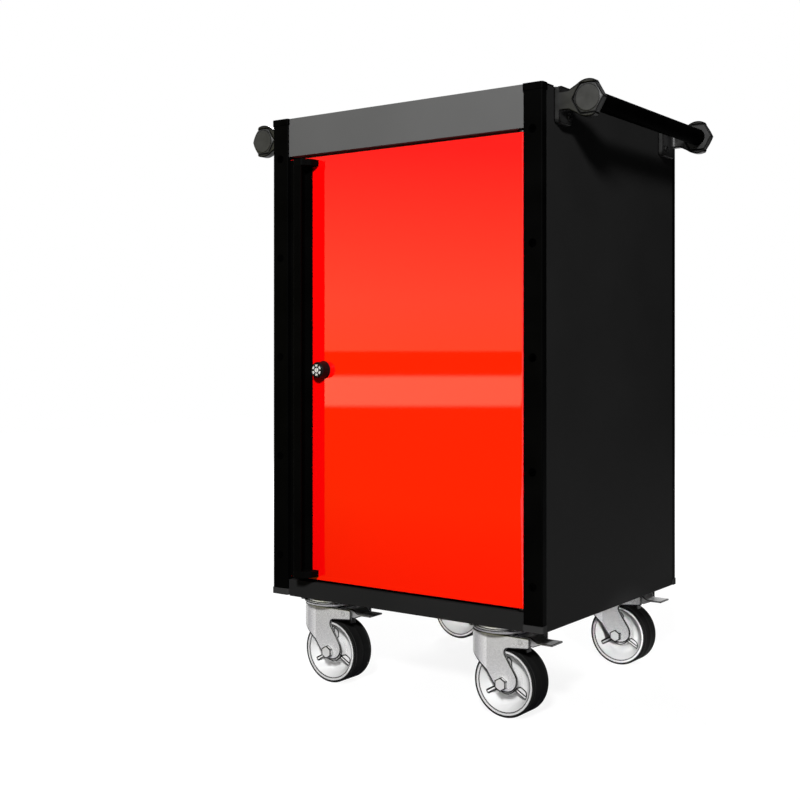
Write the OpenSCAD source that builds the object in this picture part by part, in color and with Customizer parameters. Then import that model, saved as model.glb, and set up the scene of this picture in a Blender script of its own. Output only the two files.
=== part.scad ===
// Mobile storage locker: an upright steel cabinet on four braked swivel castors.
// Corner posts carry sheet panels, one hinged front door with a lock, and a grip bar on each side.
// Millimetres. Floor at z = 0, front towards -Y, origin under the middle of the whole outline.

/* [Case] */
// Width over the corner posts
case_w = 623; // [580:1:680]
// Depth over the corner posts
case_d = 571; // [520:1:640]
// Height of the corner posts with their end caps
case_h = 960; // [800:10:1200]
// Thickness of the sheet steel panels
sheet = 1.5; // [1:0.1:2]
// Distance of the fascia, bottom rail and back panel behind the post faces
panel_inset = 4.5; // [3:0.5:7]
// Height of the front fascia above the door
fascia_h = 76.5; // [60:0.5:100]
// Height of the bottom rail's top edge above the post feet
rail_h = 31; // [29:1:44]
// Distance of the bottom rail's lower edge below the post feet
rail_drop = 2; // [1:0.5:4]
// Distance of the top sheet below the post tops
top_drop = 2.5; // [2:0.5:6]
// Thickness of the rubber top mat
mat_t = 2.5; // [1.5:0.5:5]
// Distance of the mat's edge inside the top sheet's edge
mat_inset = 48; // [46:1:80]

/* [Posts] */
// Width of a post's front face
post_w = 38.5; // [34:0.5:44]
// Depth of a post
post_d = 44; // [42:0.5:52]
// Side strip of a post that the side panel leaves bare
post_side = 15.5; // [12:0.5:20]
// Wall of the post extrusion
post_wall = 2.2; // [1.6:0.1:3]
// Rounding of a post's front corners
post_round = 2.5; // [1:0.5:4]
// Height of a post's end cap
cap_h = 12.3; // [8:0.1:18]
// Distance an end cap stands proud of its post
cap_lip = 1.5; // [1:0.1:2.5]
// Thickness of an end cap's closed end
cap_end = 3; // [2:0.5:5]
// Diameter of a plug in a front post
plug_d = 15.5; // [12:0.5:18]
// Height step between the plugs
plug_pitch = 200; // [120:5:260]
// Height of the lowest plug above the post's foot
plug_low = 80; // [60:5:120]

/* [Door] */
// Distance of the door's face behind the post faces
door_inset = 8.5; // [6:0.5:11]
// Thickness of the door
door_t = 18; // [16:0.5:22]
// Thickness of the door's sheet
door_sheet = 1.2; // [0.8:0.1:1.6]
// Gap between the door and the post on the lock side
door_gap = 1.5; // [1:0.1:3]
// Gap between the door and the fascia, and the door and the rail
door_gap_ends = 6.3; // [5.5:0.1:9]
// Diameter of a hinge pin
pin_d = 8; // [6:0.5:10]
// Length of a hinge pin inside its bush
pin_seat = 12; // [8:1:16]
// Width of the pull handle's channel
pull_w = 19; // [16:0.5:24]
// Distance the pull handle stands off the door
pull_d = 38; // [30:1:46]
// Wall of the pull handle's channel
pull_wall = 4; // [2.5:0.5:5]
// Thickness of the pull handle's base strip on the door
pull_base = 2; // [1.5:0.5:3]
// Distance of the pull handle from the post's inner face
pull_inset = 40; // [30:0.5:60]
// Distance of the pull handle's ends from the door's ends
pull_margin = 6.5; // [6:0.5:60]
// Height of a pull handle end cap
pull_cap_h = 12.5; // [8:0.5:16]
// Distance a pull handle end cap reaches past the channel
pull_cap_reach = 15; // [4:1:20]

/* [Lock] */
// Distance of the lock's axis from the pull handle's outer face
lock_inset = 46; // [42:0.5:60]
// Height of the lock's axis above the post feet
lock_h = 454; // [300:1:600]
// Diameter of the lock's fixed rosette
rosette_d = 36; // [32:0.5:40]
// Thickness of the rosette
rosette_t = 5; // [3:0.5:7]
// Diameter of the knob's face
knob_d = 31; // [28:0.5:34]
// Length of the knob
knob_l = 15.5; // [12:0.5:20]
// Diameter of the spindle through the door
spindle_d = 12; // [10:0.5:14]
// Reach of the locking cam from the spindle's axis
cam_l = 62; // [56:1:70]
// Width of the cam
cam_w = 22; // [20:1:26]

/* [Side handles] */
// Distance of a grip bar's axis from the side of the case
grip_off = 66; // [58:1:80]
// Distance of a grip bar's axis below the post tops
grip_drop = 29.5; // [26:0.5:60]
// Outer diameter of a grip bar
bar_d = 33.5; // [28:0.5:38]
// Wall of a grip bar
bar_wall = 2.5; // [1.5:0.5:4]
// Distance of a front bracket's outer face from the front of the case
bracket_inset = 41.5; // [36:0.5:43]
// Distance of a rear bracket's outer face from the back of the case
bracket_inset_rear = 28.5; // [26:0.5:43]
// Thickness of a bracket's spanner-shaped arm
arm_t = 16; // [12:0.5:17]
// Height of the arm
arm_h = 33.5; // [28:0.5:38]
// Radius of the arm's round head
head_r = 33; // [32:0.5:36]
// Size across the flats of the hexagon nut in the head
nut_af = 51.8; // [46:0.2:54]
// Distance the nut stands out of the head
nut_proud = 1.5; // [0.5:0.5:4]
// Thickness of a bracket's flange on the side panel
flange_t = 11; // [8:0.5:14]
// Distance of a flange's inner edge from the front or back of the case
flange_end = 88.5; // [86:0.5:100]
// Height of the flange
flange_h = 66; // [62:1:72]
// Distance of the flange's middle below the grip bar's axis
flange_drop = 5; // [2:0.5:6]

/* [Shelves] */
// Height of the lower shelf above the post feet
shelf_low = 300; // [240:5:340]
// Height of the upper shelf above the post feet
shelf_high = 590; // [520:5:640]
// Height of a shelf's folded edge
shelf_t = 25; // [18:1:30]
// Distance of the shelves behind the post faces
shelf_front = 62; // [56:1:90]
// Depth of a slotted upright
upright_d = 9; // [7:0.5:12]
// Width of a slotted upright
upright_w = 24; // [20:1:30]
// Gap between a bracket's flange and the upright behind it
upright_gap = 4; // [2:1:20]
// Height step of the slots in an upright
slot_pitch = 50; // [40:5:80]

/* [Castors] */
// Height of the post feet above the floor
castor_h = 168; // [164:1:180]
// Diameter of a wheel
wheel_d = 125; // [118:1:127]
// Width of a wheel
wheel_w = 54; // [46:1:56]
// Thickness of the tread
tread_t = 3; // [2:0.5:6]
// Width of the bare ring on a wheel's face, inside the tread
rim_t = 6.5; // [4:0.5:8]
// Diameter of a wheel's hub
hub_d = 32; // [28:1:36]
// Diameter of an axle bolt
axle_d = 12; // [10:1:14]
// Distance from the swivel axis to the axle
trail = 16.5; // [12:0.5:22]
// Distance of a swivel axis from the side of the case
castor_inset_x = 110.5; // [110:0.5:140]
// Distance of a swivel axis from the front or back of the case
castor_inset_y = 54.5; // [54.5:0.5:90]
// Thickness of a fork's legs
leg_t = 4; // [3:0.5:5]
// Gap between a leg and the wheel
leg_gap = 3; // [2.5:0.5:4]
// Thickness of a castor's top plate
plate_t = 5; // [4:0.5:6]
// Diameter of the bearing dish's brim under the plate
dish_d = 111; // [104:1:112]
// Height of the bearing dish
dish_h = 14.5; // [12:0.5:16]
// Diameter of a king pin
king_d = 12; // [10:1:14]
// Length of a brake pedal from its pin to its tip
pedal_l = 56.5; // [48:0.5:60]
// Width of a brake pedal
pedal_w = 39; // [34:1:44]

/* [Hidden] */
$fn = 48;
// Running clearance of a shaft in its bore, and clearance of a piece pushed into a seat
fit = 0.05;
// Clearance between pieces that turn past each other
run = 0.3;
// Clearance between sheet pieces that lie side by side
lay = 0.2;
// Overlap of a cutting shape past the face that it cuts
cut = 1;

half_w = case_w / 2;
post_x = half_w - post_w;
foot_z = castor_h;
top_z = foot_z + case_h;
pull_proud = pull_d - door_inset;
front_y = -(case_d + cap_lip - pull_proud) / 2;
back_y = front_y + case_d;
mid_y = front_y + case_d / 2;
face_y = front_y + panel_inset;
rear_in_y = back_y - panel_inset - sheet;
notch = cap_lip + lay;

plug_count = floor((case_h - 2 * plug_low) / plug_pitch) + 1;
plug_neck = 2;
plug_head = 0.8;

fascia_low = top_z - fascia_h;
rail_top = foot_z + rail_h;
rail_low = foot_z - rail_drop;
rail_flange = 40;
sheet_top = top_z - top_drop;
panel_top = sheet_top - sheet;
panel_flange = 18;
back_flange = 15;
floor_top = rail_top - sheet;
floor_low = floor_top - sheet;
screw_d = 10;
screw_h = 2;

door_y = front_y + door_inset;
door_back = door_y + door_t;
door_left = -post_x + door_gap;
door_low = rail_top + door_gap_ends;
door_top = fascia_low - door_gap_ends;
hinge_r = door_t / 2;
hinge_x = post_x - hinge_r - 1;
hinge_y = door_y + hinge_r;
bush_r = pin_d / 2 + 2.5;
bush_rim = 2;
bush_rim_r = bush_r + 2.5;
pin_inside = 30;
collar_r = pin_d / 2 + 3;
stop_gap = 3.5;
stop_y = door_back + stop_gap;
stop_reach = 12;
bumper_r = 5;
stiffener_w = 30;

pull_x = -post_x + pull_inset;
pull_low = door_low + pull_margin;
pull_top = door_top - pull_margin;
pull_round = 3;
strip_edge = 1;

lock_x = pull_x + lock_inset;
lock_z = foot_z + lock_h;
barrel_r = spindle_d / 2 + 5;
lock_nut_t = 4;
strike_t = 2.5;
strike_half = 20;
strike_reach = 17;
cam_t = 3;
cam_y = stop_gap + strike_t + 1.2;
cam_screw_t = 3.5;
key_r = knob_d / 2 - 2.5;
key_depth = 4;
key_proud = 1;

grip_z = top_z - grip_drop;
neck_l = 28;
neck_round = 16;
nut_chamfer = 3.8;
fillet_r = 8;
flange_round = 8;
screw_hole_d = 8;
screw_head_d = 13;
screw_head_h = 5;
screw_edge = 13;
screw_rise = 18;
screw_tail = 3;
screw_socket = 3;
screw_key = 6;

shelf_sheet = 1.2;
clip_t = 1.5;
clip_w = 16;
clip_lip = 14;
upright_x = half_w - sheet - upright_d;
shelf_x = upright_x - clip_t - 1;
shelf_back_gap = 2;
upright_inset = flange_end + upright_gap + upright_w / 2;
slot_w = 4;
slot_h = 14;

wheel_r = wheel_d / 2;
half_wheel = wheel_w / 2;
leg_in = half_wheel + leg_gap;
leg_out = leg_in + leg_t;
plate_low = rail_low;
plate_top = plate_low + plate_t;
plate_half_x = 52;
plate_half_y = 46;
bolt_x = 44.5;
bolt_y = 33.5;
bolt_d = 8;
bolt_af = 13;
bolt_head = 5;
dish_neck_r = norm([bolt_x, bolt_y]) - bolt_af / 2 / cos(30) - run;
dish_flare = 16;
rail_wall = 3;
crown_z = plate_low - dish_h - 0.5;
crown_t = 5;
crown_back = 36;
fork_front = 61.5;
fork_flat = 17.5;
fork_neck = 36;
fork_hollow = 67;
arm_end = 73;
hub_half = leg_in - 0.5;
web_t = 10;
bowl_w = 15;
bowl_round = 12;
rib_t = 6;
rib_sink = 9;
boss_r = 22;
boss_sink = 8;
rib_count = 3;
rib_turn = 90;
axle_af = 22;
axle_head = 7;
pedal_pin_d = 8;
pedal_pin_half = leg_in + leg_t / 2;
pedal_x = 54;
pedal_z = crown_z - 9.5;
pedal_t = 3;
pedal_low = 0.5;
pedal_high = 8.5;
sleeve_wall = 4;
shoe_w = 16;

// Castors: name, side (-1 left, 1 right), end (0 front, 1 back)
castors = [["front_left", -1, 0], ["front_right", 1, 0], ["rear_left", -1, 1], ["rear_right", 1, 1]];
castor_pieces = ["fork", "fork_bolts", "wheel_core", "tyre", "brake_pedal"];
case_nodes = [
  "post_front_left", "post_front_right", "post_rear_left", "post_rear_right", "post_caps", "post_plugs",
  "side_panel_left", "side_panel_right", "back_panel", "top_panel", "top_mat", "top_screws",
  "front_fascia", "bottom_rail", "base_floor", "castor_rails", "shelf_uprights", "shelves", "shelf_clips",
  "hinge_bushes", "door_bumpers", "strike_plate",
  "handle_brackets_left", "handle_brackets_right", "grip_bar_left", "grip_bar_right",
  "handle_nuts", "handle_screws", "castor_plates", "castor_bolts"
];
door_nodes = ["door_skin", "door_inner", "hinge_pins", "pull_handle", "pull_caps", "lock_housing"];
lock_nodes = ["lock_knob", "lock_plug", "lock_cam"];
castor_nodes = [for (c = castors) for (p = castor_pieces) str(p, "_", c[0])];

// Outline with rounded corners: each point has a radius, 0 for a sharp corner
function unit(v) = v / norm(v);
function corner_arc(a, p, b, r, n) = r <= 0 ? [p] :
  let (u = unit(a - p), v = unit(b - p), half = acos(u * v) / 2)
  let (c = p + unit(u + v) * r / sin(half), s = p + u * r / tan(half) - c, e = p + v * r / tan(half) - c)
  let (start = atan2(s[1], s[0]), turn = atan2(s[0] * e[1] - s[1] * e[0], s * e))
  [for (i = [0:n]) c + r * [cos(start + turn * i / n), sin(start + turn * i / n)]];
function rounded(pts, radii, n = 6) = [
  for (i = [0:len(pts) - 1])
    each corner_arc(pts[(i + len(pts) - 1) % len(pts)], pts[i], pts[(i + 1) % len(pts)], radii[i], n)
];

// Box between two corners
module block(a, b) {
  translate(a) cube(b - a);
}

// Turns a shape drawn in x and height, extruded upwards, so that it runs from y = a to y = b
module across(a, b) {
  translate([0, b, 0]) rotate([90, 0, 0]) linear_extrude(b - a) children();
}

// Turns a shape round the z axis into one round an axis along +Y
module along_y() {
  rotate([-90, 0, 0]) children();
}

// Places a shape drawn for the front right corner, x = 0 at the side and y = 0 at the front
module corner(side, end) {
  translate([0, mid_y, 0])
    mirror([side < 0 ? 1 : 0, 0, 0])
      mirror([0, end, 0])
        translate([half_w, -case_d / 2, 0]) children();
}

// Hexagon bar by its size across the flats
module hexagon(af, h) {
  cylinder(r = af / 2 / cos(30), h = h, $fn = 6);
}

// Extruded corner post with a rebate for the side panel's edge
module post_outline() {
  polygon(rounded(
    [[0, 0], [0, post_side], [-sheet, post_side], [-sheet, post_d], [-post_w, post_d], [-post_w, 0]],
    [post_round, 0, 0, 0, 0, post_round]));
}

module post() {
  translate([0, 0, foot_z + cap_end])
    linear_extrude(case_h - 2 * cap_end)
      difference() {
        post_outline();
        translate([post_wall - post_w, post_wall])
          square([post_w - 2 * post_wall - sheet, post_d - 2 * post_wall]);
      }
}

module each_plug() {
  for (i = [0:plug_count - 1])
    translate([-post_w / 2, 0, foot_z + plug_low + i * plug_pitch]) along_y() children();
}

module front_post(side) {
  corner(side, 0) difference() {
    post();
    each_plug() translate([0, 0, -cut]) cylinder(d = plug_d - 2 * plug_neck, h = post_wall + 2 * cut);
  }
}

module post_front_left() { color("#0b0b0c") front_post(-1); }
module post_front_right() { color("#0b0b0c") front_post(1); }
module post_rear_left() { color("#0b0b0c") corner(-1, 1) post(); }
module post_rear_right() { color("#0b0b0c") corner(1, 1) post(); }

// Plastic cap that closes a post's end, with a lip round the post's front part; closed end at z = 0
module post_cap() {
  x0 = -post_w - cap_lip;
  r = post_round + cap_lip;
  difference() {
    linear_extrude(cap_h)
      polygon(rounded(
        [[cap_lip, -cap_lip], [cap_lip, post_side], [x0, post_side], [x0, -cap_lip]],
        [r, 0, 0, r]));
    translate([-post_w - fit, -fit, cap_end]) cube([post_w + 2 * fit, post_side + cut, cap_h]);
  }
  linear_extrude(cap_end) post_outline();
}

module post_caps() {
  color("#141416") for (side = [-1, 1]) for (end = [0, 1]) corner(side, end) {
    translate([0, 0, foot_z]) post_cap();
    translate([0, 0, top_z]) mirror([0, 0, 1]) post_cap();
  }
}

// Push-in plugs that close the holes in the front posts
module post_plugs() {
  color("#050506") for (side = [-1, 1]) corner(side, 0) each_plug() {
    translate([0, 0, -plug_head]) cylinder(d = plug_d, h = plug_head);
    cylinder(d = plug_d - 2 * plug_neck - 2 * fit, h = post_wall + plug_neck);
  }
}

function bracket_depth(end) = end == 0 ? bracket_inset : bracket_inset_rear;

// Places what is drawn for the front right handle bracket, x = 0 at the side and y = 0 at its outer face
module bracket_place(side, end) {
  corner(side, end) translate([0, bracket_depth(end), grip_z]) children();
}

// Side sheet seated in the posts' rebates, with folded edges between the posts
module side_panel(side) {
  low = foot_z;
  long = case_d - 2 * post_side - 2 * lay;
  inner = case_d - 2 * post_d - 2 * lay;
  difference() {
    corner(side, 0) {
      translate([-sheet, post_side + lay, low]) cube([sheet, long, panel_top - low]);
      for (z = [low, panel_top - sheet])
        translate([-panel_flange, post_d + lay, z]) cube([panel_flange, inner, sheet]);
    }
    for (end = [0, 1]) each_bracket_screw(side, end) screw_hole(-sheet - cut, cut);
  }
}

module side_panel_left() { color("#1b1b1c") side_panel(-1); }
module side_panel_right() { color("#1b1b1c") side_panel(1); }

// Cuts that let a sheet between the posts pass the lips of the end caps
module cap_notches(y, low_end) {
  z = low_end ? foot_z - rail_drop - cut : top_z - cap_h - lay;
  h = low_end ? rail_drop + cut + cap_h + lay : cap_h + lay + cut;
  for (side = [-1, 1])
    translate([side * post_x - (side > 0 ? notch : cut), y - cut, z])
      cube([notch + cut, sheet + 2 * cut, h]);
}

// Back sheet between the rear posts, its side edges folded against them
module back_panel() {
  low = foot_z + cap_h + lay;
  high = top_z - cap_h - lay;
  color("#1b1b1c") union() {
    difference() {
      block([-post_x, rear_in_y, rail_low], [post_x, rear_in_y + sheet, top_z]);
      cap_notches(rear_in_y, false);
      cap_notches(rear_in_y, true);
    }
    for (side = [-1, 1])
      translate([side * (post_x - sheet / 2) - sheet / 2, rear_in_y - back_flange, low])
        cube([sheet, back_flange + sheet / 2, high - low]);
  }
}

// Cuts that let a level sheet pass round the posts
module post_notches(z) {
  for (side = [-1, 1]) for (end = [0, 1]) corner(side, end)
    translate([-post_w - notch, -cut, z - cut])
      cube([post_w + notch + cut, post_d + lay + cut, sheet + 2 * cut]);
}

module each_top_screw() {
  for (side = [-1, 1]) for (t = [0.14, 0.5, 0.86])
    translate([side * (half_w - mat_inset / 2), front_y + t * case_d, sheet_top]) children();
}

// Top sheet resting on the side panels' folded edges
module top_panel() {
  color("#161617") difference() {
    block([-half_w, face_y + sheet, panel_top], [half_w, rear_in_y, sheet_top]);
    post_notches(panel_top);
    each_top_screw() translate([0, 0, -sheet - cut]) cylinder(d = screw_d / 2, h = sheet + 2 * cut);
  }
}

// Loose rubber mat on the top sheet
module top_mat() {
  x = half_w - mat_inset;
  y = case_d / 2 - mat_inset;
  r = 12;
  color("#1a1b18") translate([0, mid_y, sheet_top]) linear_extrude(mat_t)
    polygon(rounded([[-x, -y], [x, -y], [x, y], [-x, y]], [r, r, r, r]));
}

module top_screws() {
  color("#3a3a3c") each_top_screw() {
    cylinder(d1 = screw_d, d2 = screw_d - screw_h, h = screw_h);
    translate([0, 0, -6]) cylinder(d = screw_d / 2 - 2 * fit, h = 6);
  }
}

// Bore for a hinge bush in a level sheet
module bush_hole(z) {
  translate([hinge_x, hinge_y, z - cut]) cylinder(r = bush_r + fit, h = sheet + 2 * cut);
}

// Front cover above the door, folded back below with a stop edge behind the door
module front_fascia() {
  high = top_z - cap_h - lay;
  color("#5f5f61") difference() {
    union() {
      block([-post_x, face_y, fascia_low], [post_x, face_y + sheet, top_z]);
      block([-post_x, face_y, fascia_low], [post_x, stop_y + sheet, fascia_low + sheet]);
      block([-post_x, stop_y, door_top - stop_reach], [post_x, stop_y + sheet, fascia_low + sheet]);
      for (side = [-1, 1])
        translate([side * (post_x - sheet / 2) - sheet / 2, face_y, fascia_low])
          cube([sheet, stop_y - face_y, high - fascia_low]);
    }
    cap_notches(face_y, false);
    bush_hole(fascia_low);
  }
}

// Front cover below the door, folded back above as the sill
module bottom_rail() {
  low = foot_z + cap_h + lay;
  color("#232324") difference() {
    union() {
      block([-post_x, face_y, rail_low], [post_x, face_y + sheet, rail_top]);
      block([-post_x, face_y, floor_top], [post_x, face_y + rail_flange, rail_top]);
      for (side = [-1, 1])
        translate([side * (post_x - sheet / 2) - sheet / 2, face_y, low])
          cube([sheet, front_y + post_d - face_y - cut, floor_low - low]);
    }
    cap_notches(face_y, true);
    bush_hole(floor_top);
  }
}

// Floor sheet of the locker, folded down along the side panels
module base_floor() {
  x = half_w - sheet;
  fold_low = foot_z + 2 * sheet;
  end = post_d + lay;
  color("#1b1b1c") difference() {
    union() {
      block([-x, face_y + sheet, floor_low], [x, rear_in_y, floor_top]);
      for (side = [-1, 1])
        translate([side * (x - sheet / 2) - sheet / 2, front_y + end, fold_low])
          cube([sheet, case_d - 2 * end, floor_top - fold_low]);
    }
    post_notches(floor_low);
    for (side = [-1, 1])
      translate([side * post_x - sheet, rear_in_y - back_flange - lay, floor_low - cut])
        cube([2 * sheet, back_flange + cut, sheet + 2 * cut]);
    bush_hole(floor_low);
  }
}

function castor_place(c) = [
  c[1] * (half_w - castor_inset_x),
  c[2] == 0 ? front_y + castor_inset_y : back_y - castor_inset_y,
  0
];

module each_castor_bolt() {
  for (i = [-1, 1]) for (j = [-1, 1]) translate([i * bolt_x, j * bolt_y, 0]) children();
}

// Open channels under the floor that the castors bolt to
module castor_rails() {
  x = hinge_x - bush_rim_r - 1;
  color("#1b1b1c") for (end = [0, 1]) difference() {
    translate([0, castor_place([0, 0, end])[1], 0]) {
      block([-x, -plate_half_y, plate_top], [x, plate_half_y, plate_top + rail_wall]);
      for (j = [0, 1])
        translate([-x, j * (2 * plate_half_y - rail_wall) - plate_half_y, plate_top])
          cube([2 * x, rail_wall, floor_low - plate_top]);
    }
    for (side = [-1, 1]) translate(castor_place([0, side, end])) each_castor_bolt()
      translate([0, 0, plate_top - cut]) cylinder(d = bolt_d + 4 * fit, h = rail_wall + 2 * cut);
  }
}

// Slotted channels on the side panels that hold the shelf clips
module each_upright() {
  for (side = [-1, 1]) for (end = [0, 1]) corner(side, end)
    translate([-sheet - upright_d, upright_inset, 0]) children();
}

module shelf_uprights() {
  low = floor_top + 10;
  high = panel_top - panel_flange;
  count = floor((high - low - slot_pitch) / slot_pitch);
  color("#2a2a2c") each_upright() difference() {
    translate([0, -upright_w / 2, low]) cube([upright_d, upright_w, high - low]);
    translate([sheet, sheet - upright_w / 2, low - cut])
      cube([upright_d, upright_w - 2 * sheet, high - low + 2 * cut]);
    for (i = [1:count])
      translate([-cut, -slot_w / 2, low + i * slot_pitch - slot_h / 2])
        cube([sheet + 2 * cut, slot_w, slot_h]);
  }
}

// Sheet shelves with folded-down edges
module shelves() {
  y0 = front_y + shelf_front;
  y1 = back_y - post_d - shelf_back_gap;
  color("#2a2a2c") for (h = [shelf_low, shelf_high]) translate([0, 0, foot_z + h]) difference() {
    block([-shelf_x, y0, 0], [shelf_x, y1, shelf_t]);
    block([shelf_sheet - shelf_x, y0 + shelf_sheet, -cut],
          [shelf_x - shelf_sheet, y1 - shelf_sheet, shelf_t - shelf_sheet]);
  }
}

// Clips on the uprights with a lip under the shelf's edge
module shelf_clips() {
  color("#9a9a9c") each_upright() for (h = [shelf_low, shelf_high])
    translate([0, -clip_w / 2, foot_z + h]) {
      translate([-clip_t, 0, -clip_t]) cube([clip_t, clip_w, shelf_t]);
      translate([-clip_lip, 0, -clip_t]) cube([clip_lip, clip_w, clip_t]);
    }
}

// Flanged bushes of the door's pivots, in the fascia and the sill
module hinge_bush() {
  difference() {
    union() {
      translate([0, 0, -pin_seat]) cylinder(r = bush_r, h = pin_seat);
      cylinder(r = bush_rim_r, h = bush_rim);
    }
    translate([0, 0, -pin_seat - cut]) cylinder(r = pin_d / 2 + fit, h = pin_seat + bush_rim + 2 * cut);
  }
}

module each_hinge() {
  translate([hinge_x, hinge_y, rail_top]) children();
  translate([hinge_x, hinge_y, fascia_low]) mirror([0, 0, 1]) children();
}

module hinge_bushes() { color("#121212") each_hinge() hinge_bush(); }

// Pivot pins with a collar, fixed in the door's ends
module hinge_pins() {
  color("#1c1c1e") each_hinge() {
    translate([0, 0, -pin_seat]) cylinder(d = pin_d, h = pin_seat + door_gap_ends + pin_inside);
    translate([0, 0, bush_rim + run]) cylinder(r = collar_r, h = door_gap_ends - bush_rim - run);
  }
}

// Rubber stops on the fascia's rear edge
module door_bumpers() {
  color("#101010") for (x = [-0.7, 0.55])
    translate([x * post_x, door_back + run, door_top - stop_reach / 2])
      along_y() cylinder(r = bumper_r, h = stop_gap - run);
}

// Keeper on the lock side post that the cam turns behind
module strike_plate() {
  tip = lock_x - cam_l + strike_reach;
  color("#8a8a8c") {
    block([-post_x, stop_y, lock_z - strike_half], [tip, stop_y + strike_t, lock_z + strike_half]);
    block([-post_x, stop_y, lock_z - strike_half],
          [-post_x + strike_t, front_y + post_d - cut, lock_z + strike_half]);
  }
}

// Spanner-shaped arm drawn with x outwards from the side and y up, its open jaw flush with the nut's flats
module spanner_shape() {
  slot = nut_af / 2 + 2 * fit;
  flare = head_r - 7;
  flare_x = grip_off - sqrt(head_r * head_r - flare * flare);
  a = arm_h / 2;
  difference() {
    union() {
      polygon(rounded(
        [[0, -a], [neck_l, -a], [flare_x, -flare], [grip_off, -flare],
         [grip_off, flare], [flare_x, flare], [neck_l, a], [0, a]],
        [0, neck_round, 0, 0, 0, 0, neck_round, 0]));
      translate([grip_off, 0]) circle(r = head_r);
    }
    translate([grip_off, 0]) circle(r = slot / cos(30), $fn = 6);
    translate([grip_off, -slot]) square([head_r + cut, 2 * slot]);
    for (turn = [-30, 30])
      translate([grip_off, 0]) rotate(turn) translate([slot, -2 * head_r]) square([head_r, 4 * head_r]);
  }
}

// Places what is drawn along z for the screws of a bracket, z = 0 at the side of the case
module each_bracket_screw(side, end) {
  for (i = [-1, 1]) corner(side, end)
    translate([0, flange_end - screw_edge, grip_z - flange_drop + i * screw_rise])
      rotate([0, 90, 0]) children();
}

module screw_hole(a, b) {
  translate([0, 0, a]) cylinder(d = screw_hole_d + 4 * fit, h = b - a);
}

// Cast bracket: arm, flange on the side panel and the fillet between them
module bracket(long) {
  low = -flange_drop - flange_h / 2;
  high = low + flange_h;
  r = flange_round;
  across(0, arm_t) spanner_shape();
  rotate([90, 0, 90]) linear_extrude(flange_t)
    polygon(rounded([[0, low], [long, low], [long, high], [0, high]], [r, r, r, r]));
  translate([flange_t, arm_t, -arm_h / 2]) difference() {
    cube([fillet_r, fillet_r, arm_h]);
    translate([fillet_r, fillet_r, -cut]) cylinder(r = fillet_r, h = arm_h + 2 * cut);
  }
}

module handle_brackets(side) {
  color("#3c3c3e") for (end = [0, 1]) difference() {
    bracket_place(side, end) bracket(flange_end - bracket_depth(end));
    each_bracket_screw(side, end) screw_hole(-cut, flange_t + cut);
  }
}
module handle_brackets_left() { handle_brackets(-1); }
module handle_brackets_right() { handle_brackets(1); }

// Grip tube between the inner faces of the two nuts
module grip_bar(side) {
  a = front_y + bracket_inset + arm_t;
  b = back_y - bracket_inset_rear - arm_t;
  color("#0a0a0b") translate([side * (half_w + grip_off), a, grip_z]) along_y() difference() {
    cylinder(d = bar_d, h = b - a);
    translate([0, 0, -cut]) cylinder(d = bar_d - 2 * bar_wall, h = b - a + 2 * cut);
  }
}
module grip_bar_left() { grip_bar(-1); }
module grip_bar_right() { grip_bar(1); }

// Chamfered hexagon nuts held in the jaws at the ends of the bars
module handle_nuts() {
  long = arm_t + nut_proud;
  corner_r = nut_af / 2 / cos(30);
  face_r = corner_r - nut_chamfer / tan(30);
  color("#454547") for (side = [-1, 1]) for (end = [0, 1]) bracket_place(side, end)
    translate([grip_off, -nut_proud, 0]) along_y() intersection() {
      hexagon(nut_af, long);
      union() {
        cylinder(r1 = face_r, r2 = corner_r, h = nut_chamfer);
        translate([0, 0, nut_chamfer]) cylinder(r = corner_r, h = long - nut_chamfer);
      }
    }
}

// Screws through the brackets' flanges and the side panels
module handle_screws() {
  inside = sheet + screw_tail;
  color("#2c2c2e") for (side = [-1, 1]) for (end = [0, 1]) each_bracket_screw(side, end) {
    translate([0, 0, -inside]) cylinder(d = screw_hole_d, h = flange_t + inside);
    translate([0, 0, flange_t]) difference() {
      cylinder(d = screw_head_d, h = screw_head_h);
      translate([0, 0, screw_head_h - screw_socket]) hexagon(screw_key, screw_socket + cut);
    }
  }
}

// Door shell: front sheet, round hinge edge and folded edges, open at the back
module door_outline(inset) {
  translate([door_left + inset, door_y + inset]) square([hinge_x - door_left - inset, door_t - 2 * inset]);
  translate([hinge_x, hinge_y]) circle(r = hinge_r - inset);
}

module lock_hole() {
  translate([lock_x, door_y - cut, lock_z]) along_y() cylinder(r = barrel_r + 4 * fit, h = door_t + 2 * cut);
}

module door_skin() {
  color("#f42015") difference() {
    translate([0, 0, door_low]) linear_extrude(door_top - door_low) door_outline(0);
    translate([0, 0, door_low + door_sheet])
      linear_extrude(door_top - door_low - 2 * door_sheet) door_outline(door_sheet);
    block([door_left - cut, door_back - door_sheet, door_low - cut],
          [hinge_x, door_back + cut, door_top + cut]);
    translate([hinge_x, hinge_y, door_low - cut])
      cylinder(r = pin_d / 2 + fit, h = door_top - door_low + 2 * cut);
    lock_hole();
  }
}

// Flat inner sheet that closes the door, with two stiffening channels behind the front sheet
module door_inner() {
  y0 = door_y + door_sheet;
  low = door_low + 3 * door_sheet;
  high = door_top - 3 * door_sheet;
  color("#1b1b1c") difference() {
    union() {
      block([door_left, door_back - door_sheet, door_low], [hinge_x, door_back, door_top]);
      for (t = [0.42, 0.72]) {
        x = door_left + t * (hinge_x - door_left);
        block([x, y0, low], [x + stiffener_w, y0 + door_sheet, high]);
        for (e = [x, x + stiffener_w - door_sheet])
          block([e, y0, low], [e + door_sheet, door_back, high]);
      }
    }
    lock_hole();
  }
}

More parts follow.
